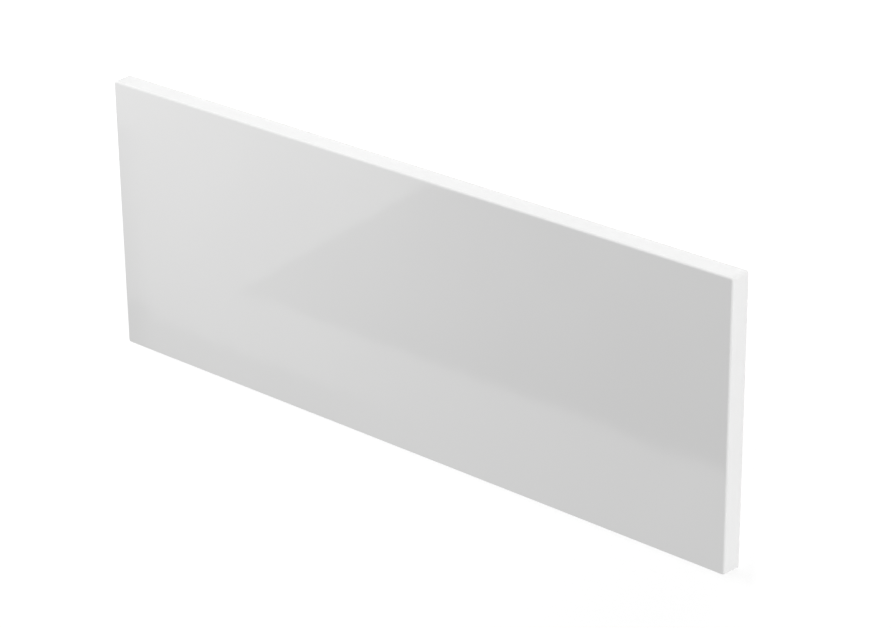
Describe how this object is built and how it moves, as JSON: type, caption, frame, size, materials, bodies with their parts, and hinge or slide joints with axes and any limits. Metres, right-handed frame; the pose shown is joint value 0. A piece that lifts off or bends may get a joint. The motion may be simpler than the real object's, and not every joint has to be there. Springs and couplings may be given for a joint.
{
  "type": "bath panel",
  "caption": "Flat gloss white bath front panel, a shallow thermoformed tray with rounded edges and an open back, that closes off the side of a bath.",
  "frame": {"origin": "middle of the plane of the trimmed rim, which the panel lies on", "axes": "+X along the length, to the right as seen from the front; +Y to the edge that goes under the bath's rim; +Z out of the show face"},
  "size_m": [1.5, 0.56, 0.04],
  "materials": {
    "white_acrylic": "high-gloss white acrylic, smooth and faintly wavy"
  },
  "bodies": {
    "root": {"front_panel": "white_acrylic"}
  },
  "joints": []
}
